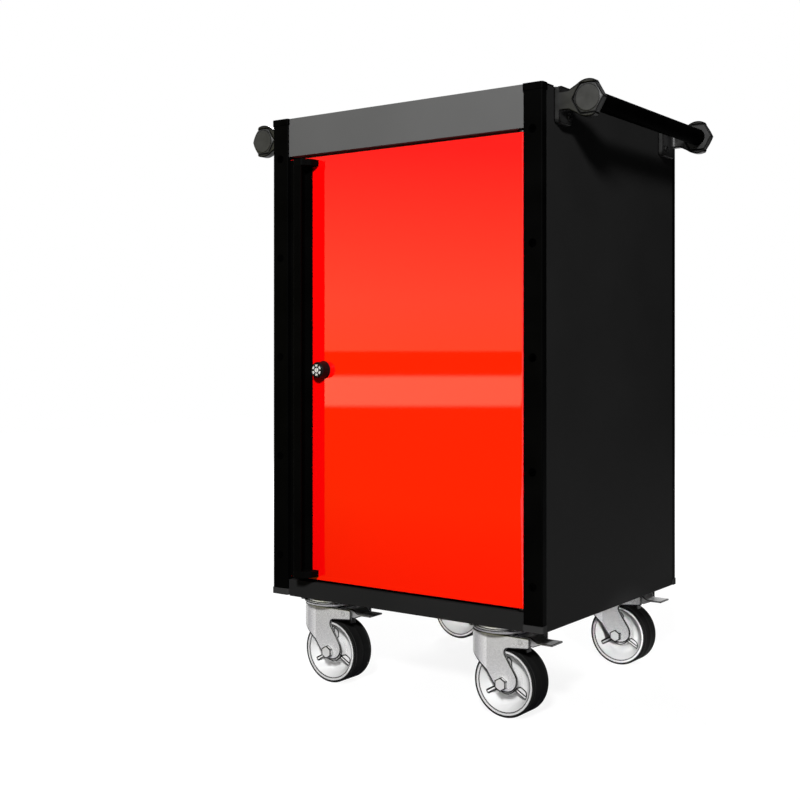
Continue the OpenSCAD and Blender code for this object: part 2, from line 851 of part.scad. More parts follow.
// Full-height pull channel, open towards the lock, with a base strip that covers the door up to its edge
module pull_handle() {
  low = pull_low + pull_cap_h;
  high = pull_top - pull_cap_h;
  color("#0b0b0c") {
    translate([pull_x, door_y, low]) linear_extrude(high - low) {
      difference() {
        polygon(rounded([[0, 0], [0, -pull_d], [pull_w, -pull_d], [pull_w, 0]], [0, pull_round, 1.5, 0]));
        translate([pull_wall, pull_wall - pull_d]) square([pull_w, pull_d - 2 * pull_wall]);
      }
      translate([-strip_edge, -pull_base]) square([strip_edge + pull_wall, pull_base]);
    }
    block([door_left + strip_edge, door_y - pull_base, door_low + strip_edge],
          [pull_x, door_y, door_top - strip_edge]);
  }
}

// Moulded caps on the channel's ends
module pull_caps() {
  x = pull_w + pull_cap_reach;
  color("#0b0b0c") for (z = [pull_low, pull_top - pull_cap_h])
    translate([pull_x, door_y, z]) linear_extrude(pull_cap_h)
      polygon(rounded([[0, 0], [0, -pull_d], [pull_w, -pull_d], [x, -pull_d * 0.55], [x, 0]],
                      [0, pull_round, 8, 10, 0]));
}

// Fixed part of the lock: rosette, barrel through the door, and its nut behind
module lock_housing() {
  long = door_t + lock_nut_t;
  color("#101011") translate([lock_x, door_y, lock_z]) along_y() {
    difference() {
      union() {
        translate([0, 0, -rosette_t]) cylinder(d1 = rosette_d - 3, d2 = rosette_d, h = rosette_t);
        cylinder(r = barrel_r, h = long);
      }
      translate([0, 0, -rosette_t - cut]) cylinder(d = spindle_d + 2 * fit, h = rosette_t + long + 2 * cut);
    }
    translate([0, 0, door_t]) difference() {
      hexagon(2 * barrel_r + 6, lock_nut_t);
      translate([0, 0, -cut]) cylinder(r = barrel_r + fit, h = lock_nut_t + 2 * cut);
    }
  }
}

// Turning knob with its spindle
module lock_knob() {
  back = -rosette_t - run;
  color("#0c0c0d") translate([lock_x, door_y, lock_z]) along_y() difference() {
    union() {
      translate([0, 0, back - knob_l]) cylinder(d1 = knob_d - 3, d2 = knob_d, h = 2);
      translate([0, 0, back - knob_l + 2]) cylinder(d1 = knob_d, d2 = knob_d + 3, h = knob_l - 2);
      translate([0, 0, back]) cylinder(d = spindle_d, h = door_t + cam_y + cam_t - back);
    }
    translate([0, 0, back - knob_l - cut]) cylinder(r = key_r + fit, h = key_depth + cut);
  }
}

// Keyed metal insert in the knob's face
module lock_plug() {
  face = -rosette_t - run - knob_l - key_proud;
  color("#c4c4c6") translate([lock_x, door_y, lock_z]) along_y() difference() {
    translate([0, 0, face]) {
      cylinder(r1 = key_r - key_proud, r2 = key_r, h = key_proud);
      translate([0, 0, key_proud]) cylinder(r = key_r, h = key_depth);
    }
    translate([-1.2, -5, face - cut]) cube([2.4, 10, 3 + cut]);
  }
}

// Locking cam on the spindle, hanging down when unlocked, with its end screw
module lock_cam() {
  color("#9c9c9e") translate([lock_x, door_back + cam_y, lock_z]) along_y() {
    difference() {
      union() {
        cylinder(d = cam_w, h = cam_t);
        translate([-cam_w / 2, 0, 0]) cube([cam_w, cam_l, cam_t]);
      }
      translate([0, 0, -cut]) cylinder(d = spindle_d + 2 * fit, h = cam_t + 2 * cut);
    }
    translate([0, 0, cam_t]) cylinder(d = spindle_d + 4, h = cam_screw_t);
  }
}

// Riveted top of a castor: plate, bearing dish and king pin
module castor_plate() {
  r = dish_d / 2;
  difference() {
    translate([0, 0, plate_low]) linear_extrude(plate_t)
      polygon(rounded(
        [for (p = [[-1, -1], [1, -1], [1, 1], [-1, 1]]) [p[0] * plate_half_x, p[1] * plate_half_y]],
        [6, 6, 6, 6]));
    each_castor_bolt()
      translate([0, 0, plate_low - cut]) cylinder(d = bolt_d + 4 * fit, h = plate_t + 2 * cut);
  }
  brim = dish_h - bolt_head - run;
  translate([0, 0, plate_low - dish_h]) rotate_extrude()
    polygon(rounded(
      [[0, 0], [r - dish_flare, 0], [r, brim / 2], [r, brim], [dish_neck_r, brim], [dish_neck_r, dish_h], [0, dish_h]],
      [0, 3, 6, 1, 0, 0, 0]));
  translate([0, 0, crown_z - crown_t - 9]) cylinder(d = king_d, h = plate_low - crown_z + crown_t + 9);
}

module castor_plates() { color("#b2b2b3") for (c = castors) translate(castor_place(c)) castor_plate(); }

// Bolts and nuts that hold the plates to the channels, and the nuts on the king pins
module castor_bolts() {
  stem = plate_t + rail_wall + 8;
  color("#a8a8aa") for (c = castors) translate(castor_place(c)) {
    each_castor_bolt() translate([0, 0, plate_low]) {
      translate([0, 0, -bolt_head]) rotate(30) hexagon(bolt_af, bolt_head);
      cylinder(d = bolt_d, h = stem);
      translate([0, 0, plate_t + rail_wall]) difference() {
        rotate(30) hexagon(bolt_af, 6);
        translate([0, 0, -cut]) cylinder(d = bolt_d + 2 * fit, h = 6 + 2 * cut);
      }
    }
    translate([0, 0, crown_z - crown_t - run - 8]) difference() {
      hexagon(19, 8);
      translate([0, 0, -cut]) cylinder(d = king_d + 2 * fit, h = 8 + 2 * cut);
    }
  }
}

// Side view of a fork, x from the swivel axis and y above the floor: crown, slanting leg and brake arm
module fork_side() {
  axle = [trail, wheel_r];
  polygon(rounded(
    [[-fork_front, crown_z], [-fork_front, crown_z - fork_neck], [-fork_flat, crown_z - fork_hollow],
     axle + [-9, -14], axle + [50, -14], [15.5, crown_z - 25], [arm_end, crown_z - 19.5], [arm_end, crown_z]],
    [0, 12, 6, 12, 22, 8, 3, 3], 8));
}

// Plan of a fork: straight legs and an oval front
module fork_plan(inset) {
  w = leg_out - inset;
  reach = fork_front - fork_flat - inset;
  x = arm_end + inset;
  oval = [for (a = [0:10:180]) [-fork_flat - reach * sin(a), w * cos(a)]];
  polygon(concat([[x, -w], [x, w]], oval));
}

module cross_bar(x, z, d, half) {
  translate([x, -half, z]) along_y() cylinder(d = d, h = 2 * half);
}

// Pressed steel fork that swivels on the king pin
module fork() {
  low = wheel_r - 14 - cut;
  color("#b8b8b8") difference() {
    intersection() {
      translate([0, 0, low]) linear_extrude(crown_z - low) fork_plan(0);
      across(-leg_out, leg_out) fork_side();
    }
    translate([0, 0, low]) linear_extrude(crown_z - crown_t - low) fork_plan(leg_t);
    block([crown_back, -leg_in, crown_z - crown_t - cut], [arm_end + cut, leg_in, crown_z + cut]);
    translate([trail, -half_wheel - 1.5, wheel_r]) along_y() cylinder(r = wheel_r + 2.5, h = wheel_w + 3);
    translate([0, 0, crown_z - crown_t - cut]) cylinder(d = king_d + 2 * fit, h = crown_t + 2 * cut);
    cross_bar(trail, wheel_r, axle_d + 4 * fit, leg_out + cut);
    cross_bar(pedal_x, pedal_z, pedal_pin_d + 4 * fit, pedal_pin_half);
  }
}

// Axle bolt with its nut, and the pedal's pin in blind holes inside the arms
module fork_bolts() {
  tip = leg_out + 11;
  color("#a9a9ab") {
    translate([trail, 0, wheel_r]) along_y() {
      translate([0, 0, -leg_out - axle_head]) rotate(30) hexagon(axle_af, axle_head);
      translate([0, 0, -leg_out]) cylinder(d = axle_d, h = leg_out + tip);
      translate([0, 0, leg_out]) difference() {
        rotate(30) hexagon(axle_af, 9);
        translate([0, 0, -cut]) cylinder(d = axle_d + 2 * fit, h = 9 + 2 * cut);
      }
    }
    cross_bar(pedal_x, pedal_z, pedal_pin_d, pedal_pin_half - fit);
  }
}

// Cast wheel centre with a ribbed web on each face
module wheel_core() {
  r1 = wheel_r - tread_t;
  r0 = r1 - rim_t;
  bowl = r0 - bowl_w;
  hub = hub_d / 2;
  boss = half_wheel - boss_sink;
  rib_half = half_wheel - rib_sink;
  color("#cfcfcf") translate([trail, 0, wheel_r]) along_y() difference() {
    union() {
      for (face = [0, 1]) mirror([0, 0, face]) rotate_extrude() polygon(rounded(
        [[0, 0], [r1, 0], [r1, half_wheel], [r0, half_wheel], [bowl, web_t / 2],
         [boss_r + 1.5, web_t / 2], [boss_r, boss], [hub, boss], [hub, hub_half], [0, hub_half]],
        [0, 0, 0, 0, bowl_round, 4, 0, 0, 0, 0]));
      for (i = [0:rib_count - 1]) rotate(-rib_turn - i * 360 / rib_count)
        translate([hub - 2, -rib_t / 2, -rib_half]) cube([r0 - hub, rib_t, 2 * rib_half]);
    }
    translate([0, 0, -hub_half - cut]) cylinder(d = axle_d + 2 * fit, h = 2 * hub_half + 2 * cut);
  }
}

// Tread bonded round the wheel centre
module tyre() {
  r0 = wheel_r - tread_t + fit;
  color("#161616") translate([trail, 0, wheel_r]) along_y() rotate_extrude()
    polygon(rounded(
      [[r0, -half_wheel], [wheel_r, -half_wheel], [wheel_r, half_wheel], [r0, half_wheel]],
      [0, 1.8, 1.8, 0]));
}

// Brake pedal: sleeve on the pin, stepped lever to tread on with a web below, and the shoe behind the tyre
module brake_pedal() {
  w = pedal_w / 2;
  sleeve = pedal_pin_d / 2 + sleeve_wall;
  low = pedal_low - pedal_t;
  step_from = 13;
  step_to = 25;
  web_foot = [18, -9];
  web_to = 34;
  bend = 10;
  shoe_tip = [-1, -24.5];
  color("#aeaeb0") translate([pedal_x, 0, pedal_z]) difference() {
    union() {
      translate([0, -w, 0]) along_y() cylinder(r = sleeve, h = 2 * w);
      across(-w, w) polygon(rounded(
        [[0, 0], [0, pedal_high], [step_from, pedal_high], [step_to, pedal_low],
         [pedal_l, pedal_low], [pedal_l, low], [web_to, low], web_foot, [0, -sleeve]],
        [0, 0, bend, bend, 0, 0, 0, 0, 0]));
      across(-shoe_w / 2, shoe_w / 2)
        polygon([[-sleeve, 0], [0, 0], [-3, -sleeve], shoe_tip, shoe_tip + [-8, 4]]);
    }
    translate([0, -w - cut, 0]) along_y() cylinder(d = pedal_pin_d + 2 * fit, h = 2 * w + 2 * cut);
  }
}

post_front_left();
post_front_right();
post_rear_left();
post_rear_right();
post_caps();
post_plugs();
side_panel_left();
side_panel_right();
back_panel();
top_panel();
top_mat();
top_screws();
front_fascia();
bottom_rail();
base_floor();
castor_rails();
shelf_uprights();
shelves();
shelf_clips();
hinge_bushes();
door_bumpers();
strike_plate();
handle_brackets_left();
handle_brackets_right();
grip_bar_left();
grip_bar_right();
handle_nuts();
handle_screws();
castor_plates();
castor_bolts();
door_skin();
door_inner();
hinge_pins();
pull_handle();
pull_caps();
lock_housing();
lock_knob();
lock_plug();
lock_cam();
for (c = castors) {
  translate(castor_place(c)) fork();
  translate(castor_place(c)) fork_bolts();
  translate(castor_place(c)) wheel_core();
  translate(castor_place(c)) tyre();
  translate(castor_place(c)) brake_pedal();
}
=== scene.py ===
import math

import bmesh
import bpy
from mathutils import Matrix, Vector


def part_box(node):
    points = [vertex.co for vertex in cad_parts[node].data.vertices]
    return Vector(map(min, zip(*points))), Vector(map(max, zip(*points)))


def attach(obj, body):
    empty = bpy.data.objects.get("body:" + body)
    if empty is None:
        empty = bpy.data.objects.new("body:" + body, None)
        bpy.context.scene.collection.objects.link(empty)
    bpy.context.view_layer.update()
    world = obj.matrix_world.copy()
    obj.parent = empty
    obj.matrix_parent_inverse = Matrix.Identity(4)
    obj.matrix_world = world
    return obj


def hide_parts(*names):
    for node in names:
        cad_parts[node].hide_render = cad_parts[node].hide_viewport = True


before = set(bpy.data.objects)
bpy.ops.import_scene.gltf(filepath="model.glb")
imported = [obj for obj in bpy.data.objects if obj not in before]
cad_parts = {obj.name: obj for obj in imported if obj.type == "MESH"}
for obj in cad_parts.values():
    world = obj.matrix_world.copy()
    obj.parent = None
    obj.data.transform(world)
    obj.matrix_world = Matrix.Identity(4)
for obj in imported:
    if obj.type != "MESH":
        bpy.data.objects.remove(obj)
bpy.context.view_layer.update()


# Corner posts: aluminium extrusions, anodised black, with a rebate for the side panels' edges.
# The die leaves faint lines along each post, and the anodising is a little uneven over its length.
def start_finish(name, rough, shine, metal=0.0):
    """A new material with its shader, and the object's own coordinates for its patterns."""
    material = bpy.data.materials.new(name)
    material.use_nodes = True
    tree = material.node_tree
    tree.nodes.clear()
    out = tree.nodes.new("ShaderNodeOutputMaterial")
    shader = tree.nodes.new("ShaderNodeBsdfPrincipled")
    shader.inputs["Roughness"].default_value = rough
    shader.inputs["Specular IOR Level"].default_value = shine
    shader.inputs["Metallic"].default_value = metal
    tree.links.new(shader.outputs["BSDF"], out.inputs["Surface"])
    where = tree.nodes.new("ShaderNodeTexCoord").outputs["Object"]
    return material, tree, shader, where


def grey(level):
    """Linear colour of a neutral shade given as 0 to 255 on screen."""
    share = level / 255
    linear = share / 12.92 if share <= 0.04045 else ((share + 0.055) / 1.055) ** 2.4
    return [linear] * 3 + [1.0]


def grain(tree, where, size, detail, stretch=(1, 1, 1)):
    """Cloudy value between 0 and 1 with marks of about that size in metres, drawn out along an axis."""
    place = tree.nodes.new("ShaderNodeMapping")
    place.inputs["Scale"].default_value = [1 / (size * s) for s in stretch]
    cloud = tree.nodes.new("ShaderNodeTexNoise")
    cloud.inputs["Scale"].default_value = 1.0
    cloud.inputs["Detail"].default_value = detail
    tree.links.new(where, place.inputs["Vector"])
    tree.links.new(place.outputs["Vector"], cloud.inputs["Vector"])
    return cloud.outputs["Fac"]


def spread(tree, value, low, high, start=0.3, end=0.7):
    """The value's range from start to end, laid out from low to high."""
    node = tree.nodes.new("ShaderNodeMapRange")
    node.inputs["From Min"].default_value = start
    node.inputs["From Max"].default_value = end
    node.inputs["To Min"].default_value = low
    node.inputs["To Max"].default_value = high
    tree.links.new(value, node.inputs["Value"])
    return node.outputs["Result"]


def mingle(tree, share, one, other):
    """Colour between two others by a share from 0 to 1; each is a colour or a socket."""
    node = tree.nodes.new("ShaderNodeMix")
    node.data_type = "RGBA"
    tree.links.new(share, node.inputs[0])
    for socket, colour in ((node.inputs[6], one), (node.inputs[7], other)):
        if hasattr(colour, "links"):
            tree.links.new(colour, socket)
        else:
            socket.default_value = colour
    return node.outputs[2]


def rounded_edges(tree, radius, keen=0.86, rays=6):
    """Normal that rounds off sharp edges, and a mask that is 1 on them; blunt edges need a keen near 1."""
    bevel = tree.nodes.new("ShaderNodeBevel")
    bevel.samples = rays
    bevel.inputs["Radius"].default_value = radius
    flat = tree.nodes.new("ShaderNodeNewGeometry").outputs["Normal"]
    dot = tree.nodes.new("ShaderNodeVectorMath")
    dot.operation = "DOT_PRODUCT"
    tree.links.new(bevel.outputs["Normal"], dot.inputs[0])
    tree.links.new(flat, dot.inputs[1])
    return bevel.outputs["Normal"], spread(tree, dot.outputs["Value"], 1.0, 0.0, keen, 0.995)


def relief(tree, shader, height, depth, normal=None):
    """Surface relief of that depth in metres, over the given normal."""
    bump = tree.nodes.new("ShaderNodeBump")
    bump.inputs["Distance"].default_value = depth
    tree.links.new(height, bump.inputs["Height"])
    if normal:
        tree.links.new(normal, bump.inputs["Normal"])
    tree.links.new(bump.outputs["Normal"], shader.inputs["Normal"])


def dress(material, *names):
    """Gives these CAD nodes the material."""
    for name in names:
        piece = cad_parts[name]
        for slot in piece.material_slots:
            slot.material = material


def anodised(name, level, along):
    """Anodised aluminium of that shade, drawn along an axis."""
    die_line, drawn_out = 0.0006, 60
    material, tree, shader, where = start_finish(name, 0.42, 0.006)
    cloud = grain(tree, where, 0.09, 2.0)
    lines = grain(tree, where, die_line, 2.0, [drawn_out if i == along else 1 for i in range(3)])
    normal, edge = rounded_edges(tree, 0.0007)
    body = mingle(tree, spread(tree, cloud, 0, 1), grey(level - 1), grey(level + 2))
    # Painted highlight: the edges are painted a few shades lighter.
    tree.links.new(mingle(tree, edge, body, grey(level + 5)), shader.inputs["Base Color"])
    tree.links.new(spread(tree, lines, 0.36, 0.5), shader.inputs["Roughness"])
    relief(tree, shader, lines, 0.00003, normal)
    return material


post_black = anodised("post_black_anodised", 3, 2)
dress(post_black, "post_front_left", "post_front_right", "post_rear_left", "post_rear_right")


# Post end caps and hole plugs: injection-moulded black plastic, pushed over the ends and into the holes.
# The moulds are spark-eroded, so the plastic has a fine, even grain that scatters the light.
def moulded(name, level, rough=0.55, shine=0.01, foot=None):
    """Black moulded plastic with a spark-eroded grain, painted lighter towards the shade foot near the floor
    as light from below, and with painted highlights on its edges.
    """
    lightest_below, plain_above = 0.3, 0.6
    material, tree, shader, where = start_finish(name, rough, shine)
    pores = grain(tree, where, 0.0008, 2.0)
    cloud = grain(tree, where, 0.03, 2.0)
    normal, edge = rounded_edges(tree, 0.0006)
    body = mingle(tree, spread(tree, cloud, 0, 1), grey(level - 1), grey(level + 2))
    # Painted light: towards the floor the plastic is painted lighter, as if light from below falls on it.
    if foot:
        height = tree.nodes.new("ShaderNodeSeparateXYZ")
        tree.links.new(where, height.inputs["Vector"])
        painted_floor_light = spread(tree, height.outputs["Z"], 1, 0, lightest_below, plain_above)
        body = mingle(tree, painted_floor_light, body, grey(foot))
    # Painted highlight: the edges are painted a few shades lighter.
    tree.links.new(mingle(tree, edge, body, grey(level + 6)), shader.inputs["Base Color"])
    tree.links.new(spread(tree, pores, rough - 0.07, rough + 0.08), shader.inputs["Roughness"])
    relief(tree, shader, pores, 0.00006, normal)
    return material


cap_black = moulded("cap_black_plastic", 2, foot=52)
plug_black = moulded("plug_black_plastic", 1, 0.6, 0.0)
dress(cap_black, "post_caps")
dress(plug_black, "post_plugs")


# Side, back, top and floor sheets: folded steel, powder coated satin black.
# The powder flows out into a faint orange peel, with small changes of gloss over a panel.
def powder_coat(name, level, rough, shine):
    """Powder-coated sheet steel with an orange-peel surface."""
    peel = 0.00005
    material, tree, shader, where = start_finish(name, rough, shine)
    skin = grain(tree, where, 0.0016, 2.0)
    cloud = grain(tree, where, 0.22, 3.0)
    specks = grain(tree, where, 0.0006, 1.0)
    normal, edge = rounded_edges(tree, 0.0008)
    body = mingle(tree, spread(tree, cloud, 0, 1), grey(level - 2), grey(level + 2))
    body = mingle(tree, spread(tree, specks, 0, 0.5, 0.6, 0.8), body, grey(level + 6))
    # Painted highlight: the edges are painted a few shades lighter.
    tree.links.new(mingle(tree, edge, body, grey(level + 6)), shader.inputs["Base Color"])
    tree.links.new(spread(tree, cloud, rough - 0.05, rough + 0.06), shader.inputs["Roughness"])
    relief(tree, shader, skin, peel, normal)
    return material


panel_black = powder_coat("panel_satin_black", 36, 0.5, 0.008)
dress(panel_black, "side_panel_left", "side_panel_right", "back_panel", "top_panel", "base_floor",
      "castor_rails")


# Rivets of the back sheet: domed blind rivets along its edges, set before the case is coated.
# They hold the sheet to the rear posts and to the folded edges of the top and the floor.
def turned(name, profile, centre, steps=96, ring=False):
    """Object turned round an axis along +Y from radius and depth pairs; a ring joins last to first."""
    hoops = []
    points = []
    for radius, depth in profile:
        count = steps if radius > 0 else 1
        angles = [2 * math.pi * i / count for i in range(count)]
        hoops.append([len(points) + i for i in range(count)])
        points += [Vector(centre) + Vector((radius * math.cos(a), depth, radius * math.sin(a)))
                   for a in angles]
    faces = []
    for one, other in zip(hoops, hoops[1:] + (hoops[:1] if ring else [])):
        for i in range(steps):
            j = (i + 1) % steps
            corners = [one[i % len(one)], one[j % len(one)], other[j % len(other)], other[i % len(other)]]
            faces.append(list(dict.fromkeys(corners)))
    mesh = bpy.data.meshes.new(name)
    mesh.from_pydata(points, [], faces)
    return finished(name, mesh)


def finished(name, mesh):
    """Object with merged points and outward faces, smooth but for its sharp edges."""
    sharp_from = math.radians(35)
    shape = bmesh.new()
    shape.from_mesh(mesh)
    bmesh.ops.remove_doubles(shape, verts=shape.verts, dist=1e-6)
    bmesh.ops.recalc_face_normals(shape, faces=shape.faces)
    shape.to_mesh(mesh)
    shape.free()
    mesh.shade_smooth()
    mesh.set_sharp_from_angle(angle=sharp_from)
    piece = bpy.data.objects.new(name, mesh)
    bpy.context.collection.objects.link(piece)
    return piece


def seat(piece, body, material):
    """Puts a finished piece on its body, with its material."""
    piece.data.materials.clear()
    piece.data.materials.append(material)
    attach(piece, body)


def copy_tree(name, inputs):
    """Node tree that places copies, with those inputs besides Piece, Count and Finish."""
    tree = bpy.data.node_groups.new(name, "GeometryNodeTree")
    kinds = [("Piece", "NodeSocketObject"), ("Count", "NodeSocketInt"),
             ("Finish", "NodeSocketMaterial")] + inputs
    keys = {label: tree.interface.new_socket(label, in_out="INPUT", socket_type=kind).identifier
            for label, kind in kinds}
    tree.interface.new_socket("Geometry", in_out="OUTPUT", socket_type="NodeSocketGeometry")
    given = tree.nodes.new("NodeGroupInput")
    info = tree.nodes.new("GeometryNodeObjectInfo")
    line = tree.nodes.new("GeometryNodeMeshLine")
    place = tree.nodes.new("GeometryNodeInstanceOnPoints")
    real = tree.nodes.new("GeometryNodeRealizeInstances")
    paint = tree.nodes.new("GeometryNodeSetMaterial")
    out = tree.nodes.new("NodeGroupOutput")
    for source, target in (
            (given.outputs["Piece"], info.inputs["Object"]),
            (given.outputs["Count"], line.inputs["Count"]),
            (line.outputs["Mesh"], place.inputs["Points"]),
            (info.outputs["Geometry"], place.inputs["Instance"]),
            (place.outputs["Instances"], real.inputs["Geometry"]),
            (real.outputs["Geometry"], paint.inputs["Geometry"]),
            (given.outputs["Finish"], paint.inputs["Material"]),
            (paint.outputs["Geometry"], out.inputs["Geometry"])):
        tree.links.new(source, target)
    return tree, keys, given, line, place


def spaced_row():
    """Tree for a straight row of copies, by its start and its step."""
    tree, keys, given, line, place = copy_tree("spaced_row", [
        ("Start", "NodeSocketVector"), ("Step", "NodeSocketVector")])
    tree.links.new(given.outputs["Start"], line.inputs["Start Location"])
    tree.links.new(given.outputs["Step"], line.inputs["Offset"])
    return tree, keys


def copied(tree, keys, **sizes):
    """Plain mesh that the tree gives with these inputs."""
    host = bpy.data.objects.new("host", bpy.data.meshes.new("host"))
    bpy.context.collection.objects.link(host)
    shaper = host.modifiers.new("copies", "NODES")
    shaper.node_group = tree
    for label, value in sizes.items():
        shaper[keys[label]] = value
    mesh = bpy.data.meshes.new_from_object(host.evaluated_get(bpy.context.evaluated_depsgraph_get()))
    bpy.data.objects.remove(host)
    return mesh


def joined(name, meshes):
    """One object from several meshes."""
    shape = bmesh.new()
    for mesh in meshes:
        shape.from_mesh(mesh)
    whole = bpy.data.meshes.new(name)
    shape.to_mesh(whole)
    shape.free()
    return finished(name, whole)


back_low, back_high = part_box("back_panel")
rivet_dome = [(0, 0), (0.0031, 0), (0.0031, 0.0002), (0.0026, 0.0009), (0.0015, 0.0014), (0, 0.0016)]
rivet = turned("rivet", rivet_dome, (0, 0, 0), 16)
row_tree, row_keys = spaced_row()
edge_in, end_in = 0.010, 0.022
across_gaps, up_gaps = 5, 8
across_step = (back_high[0] - back_low[0] - 2 * edge_in) / across_gaps
up_step = (back_high[2] - back_low[2] - 2 * end_in) / up_gaps
rivet_rows = []
for x in (back_low[0] + edge_in, back_high[0] - edge_in):
    rivet_rows.append((up_gaps + 1, (x, back_high[1], back_low[2] + end_in), (0, 0, up_step)))
for z in (back_low[2] + end_in, back_high[2] - end_in):
    second = (back_low[0] + edge_in + across_step, back_high[1], z)
    rivet_rows.append((across_gaps - 1, second, (across_step, 0, 0)))
back_rivets = joined("back_rivets", [
    copied(row_tree, row_keys, Piece=rivet, Count=count, Start=start, Step=step, Finish=panel_black)
    for count, start, step in rivet_rows])
bpy.data.objects.remove(rivet)
seat(back_rivets, "cabinet", panel_black)


# Fascia above the door and rail below it: folded steel between the front posts.
# The fascia is coated dark grey, the rail satin black like the case.
dress(powder_coat("fascia_dark_grey", 88, 0.5, 0.06), "front_fascia")
dress(powder_coat("rail_satin_black", 33, 0.5, 0.01), "bottom_rail")


# Top mat: loose sheet of black rubber with a fine pressed grain, and pan screws beside it.
# The rubber dulls to a slight grey where things are laid down; the screws are blackened steel.
# The small bumpers that the door closes against are of a finer-grained rubber.
def rubber(name, level, grain_size, depth, edge_glint=10):
    """Pressed rubber with a pebbled grain, and its edges painted lighter by the given number of shades, as a
    highlight.
    """
    material, tree, shader, where = start_finish(name, 0.75, 0.04)
    place = tree.nodes.new("ShaderNodeMapping")
    place.inputs["Scale"].default_value = [1 / grain_size] * 3
    pebbles = tree.nodes.new("ShaderNodeTexVoronoi")
    pebbles.feature = "SMOOTH_F1"
    pebbles.inputs["Scale"].default_value = 1.0
    tree.links.new(where, place.inputs["Vector"])
    tree.links.new(place.outputs["Vector"], pebbles.inputs["Vector"])
    cloud = grain(tree, where, 0.12, 4.0)
    normal, edge = rounded_edges(tree, 0.0008)
    body = mingle(tree, spread(tree, cloud, 0, 1), grey(level - 3), grey(level + 6))
    # Painted highlight: the edges are painted lighter by the given number of shades.
    tree.links.new(mingle(tree, edge, body, grey(level + edge_glint)), shader.inputs["Base Color"])
    tree.links.new(spread(tree, cloud, 0.68, 0.85), shader.inputs["Roughness"])
    relief(tree, shader, pebbles.outputs["Distance"], depth, normal)
    return material

# The tread's edges, round the shoulder grooves, carry a strong painted highlight.

dress(rubber("mat_black_rubber", 34, 0.0022, 0.00025), "top_mat")
dress(rubber("bumper_black_rubber", 22, 0.0012, 0.0001), "door_bumpers")


def steel(name, level, rough, metal=1.0, line=0.0022, shoe=None, shine=0.3, bend=None):
    """Steel with a fine grain and faint clouding, and painted shade in dark lines along its edges; below the
    height shoe it is painted black as shade, and a painted highlight brightens it up to the line x = bend."""
    dark, shoe_shade, bend_highlight = grey(12), grey(14), grey(250)
    shoe_blur, highlight_wide, crest_blur = 0.0003, 0.020, 0.0015
    material, tree, shader, where = start_finish(name, rough, shine, metal)
    cloud = grain(tree, where, 0.03, 4.0)
    marks = grain(tree, where, 0.0007, 2.0)
    normal, edge = rounded_edges(tree, line, 0.985, 14)
    body = mingle(tree, spread(tree, cloud, 0, 1), grey(level - 2), grey(level + 2))
    at = tree.nodes.new("ShaderNodeSeparateXYZ")
    tree.links.new(where, at.inputs["Vector"])
    # Painted shade: below the shoe height the pedal is painted black.
    if shoe:
        below = spread(tree, at.outputs["Z"], 1, 0, shoe - shoe_blur, shoe + shoe_blur)
        body = mingle(tree, below, body, shoe_shade)
    # Painted highlight: a bright band is painted up to the fork's bend, where a sharp edge ends it.
    if bend:
        bend_lit = mingle(tree, spread(tree, at.outputs["X"], 0, 1, bend - highlight_wide, bend), body, bend_highlight)
        body = mingle(tree, spread(tree, at.outputs["X"], 0, 1, bend, bend + crest_blur), bend_lit, body)
    # Painted shade: dark lines are painted along the edges.
    tree.links.new(mingle(tree, edge, body, dark), shader.inputs["Base Color"])
    tree.links.new(spread(tree, marks, rough - 0.05, rough + 0.07), shader.inputs["Roughness"])
    relief(tree, shader, marks, 0.00002, normal)
    return material


screw_black = steel("screw_blackened_steel", 60, 0.45)
dress(screw_black, "top_screws", "handle_screws")


# Inside of the locker: slotted uprights, folded shelves and bright clips.
# Uprights and shelves are coated like the case but a shade lighter; the clips are zinc plated.
# The door turns on blackened pins in plain black plastic bushes.
dress(powder_coat("shelf_satin_black", 44, 0.5, 0.2), "shelf_uprights", "shelves")
zinc = steel("zinc_plated_steel", 200, 0.38, 0.3)
dress(zinc, "shelf_clips", "strike_plate", "lock_cam")
dress(moulded("bush_black_plastic", 10, 0.4), "hinge_bushes")
dress(screw_black, "hinge_pins")


# Door: folded sheet shell, stove-enamelled gloss red, closed behind by a black inner sheet.
# The enamel is smooth with a very long, shallow ripple that bends reflections.
def gloss_enamel(name, colour, deep):
    """Gloss enamel on flat sheet steel."""
    material, tree, shader, where = start_finish(name, 0.08, 0.5)
    ripple = grain(tree, where, 0.12, 1.0)
    peel = grain(tree, where, 0.003, 1.0)
    cloud = grain(tree, where, 0.3, 3.0)
    normal, edge = rounded_edges(tree, 0.0006)
    body = mingle(tree, spread(tree, cloud, 0, 1), colour, deep)
    # Painted shade: the edges are painted in the deeper red.
    tree.links.new(mingle(tree, edge, body, deep), shader.inputs["Base Color"])
    tree.links.new(spread(tree, peel, 0.015, 0.03), shader.inputs["Roughness"])
    relief(tree, shader, ripple, 0.000004, normal)
    return material


dress(gloss_enamel("door_gloss_red", [1.0, 0.0012, 0.0012, 1], [0.985, 0.001, 0.001, 1]), "door_skin")
dress(panel_black, "door_inner")


# Door pull: extruded channel over the full height, anodised black, with moulded end caps.
# The lock beside it is a black moulded knob on a rosette.
dress(anodised("pull_black_anodised", 3, 2), "pull_handle")
dress(moulded("pull_cap_black", 4, 0.45), "pull_caps")
lock_black = moulded("lock_black_plastic", 8, 0.4, 0.1)
dress(lock_black, "lock_housing", "lock_knob")


